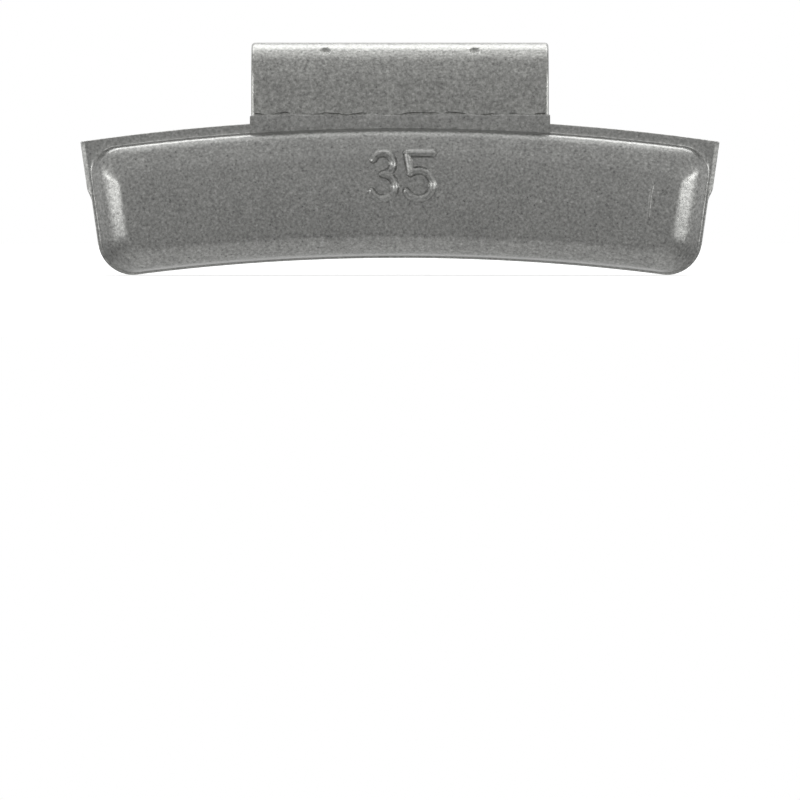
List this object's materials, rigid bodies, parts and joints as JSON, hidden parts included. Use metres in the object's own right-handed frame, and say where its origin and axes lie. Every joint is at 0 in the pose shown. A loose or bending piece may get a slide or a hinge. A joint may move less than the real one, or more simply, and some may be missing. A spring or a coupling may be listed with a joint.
{
  "type": "wheel balance weight",
  "caption": "Clip-on wheel balance weight: a curved zinc casting with soft front edges and sharp ears, held to a rim flange by a cast-in spring-steel hook.",
  "frame": {"origin": "middle of the flat face that lies against the rim", "axes": "+X along the weight's length, +Y out of the rim face towards the rim, +Z outward from the wheel's axle, so that the clip stands up; the front faces -Y"},
  "size_m": [0.0578, 0.0129, 0.0211],
  "materials": {
    "casting": "silver-grey metallic paint, satin, fine speckle",
    "clip": "silver-grey metallic paint, satin, fine speckle"
  },
  "bodies": {
    "root": {"weight_body": "casting", "clip": "clip"}
  },
  "joints": []
}
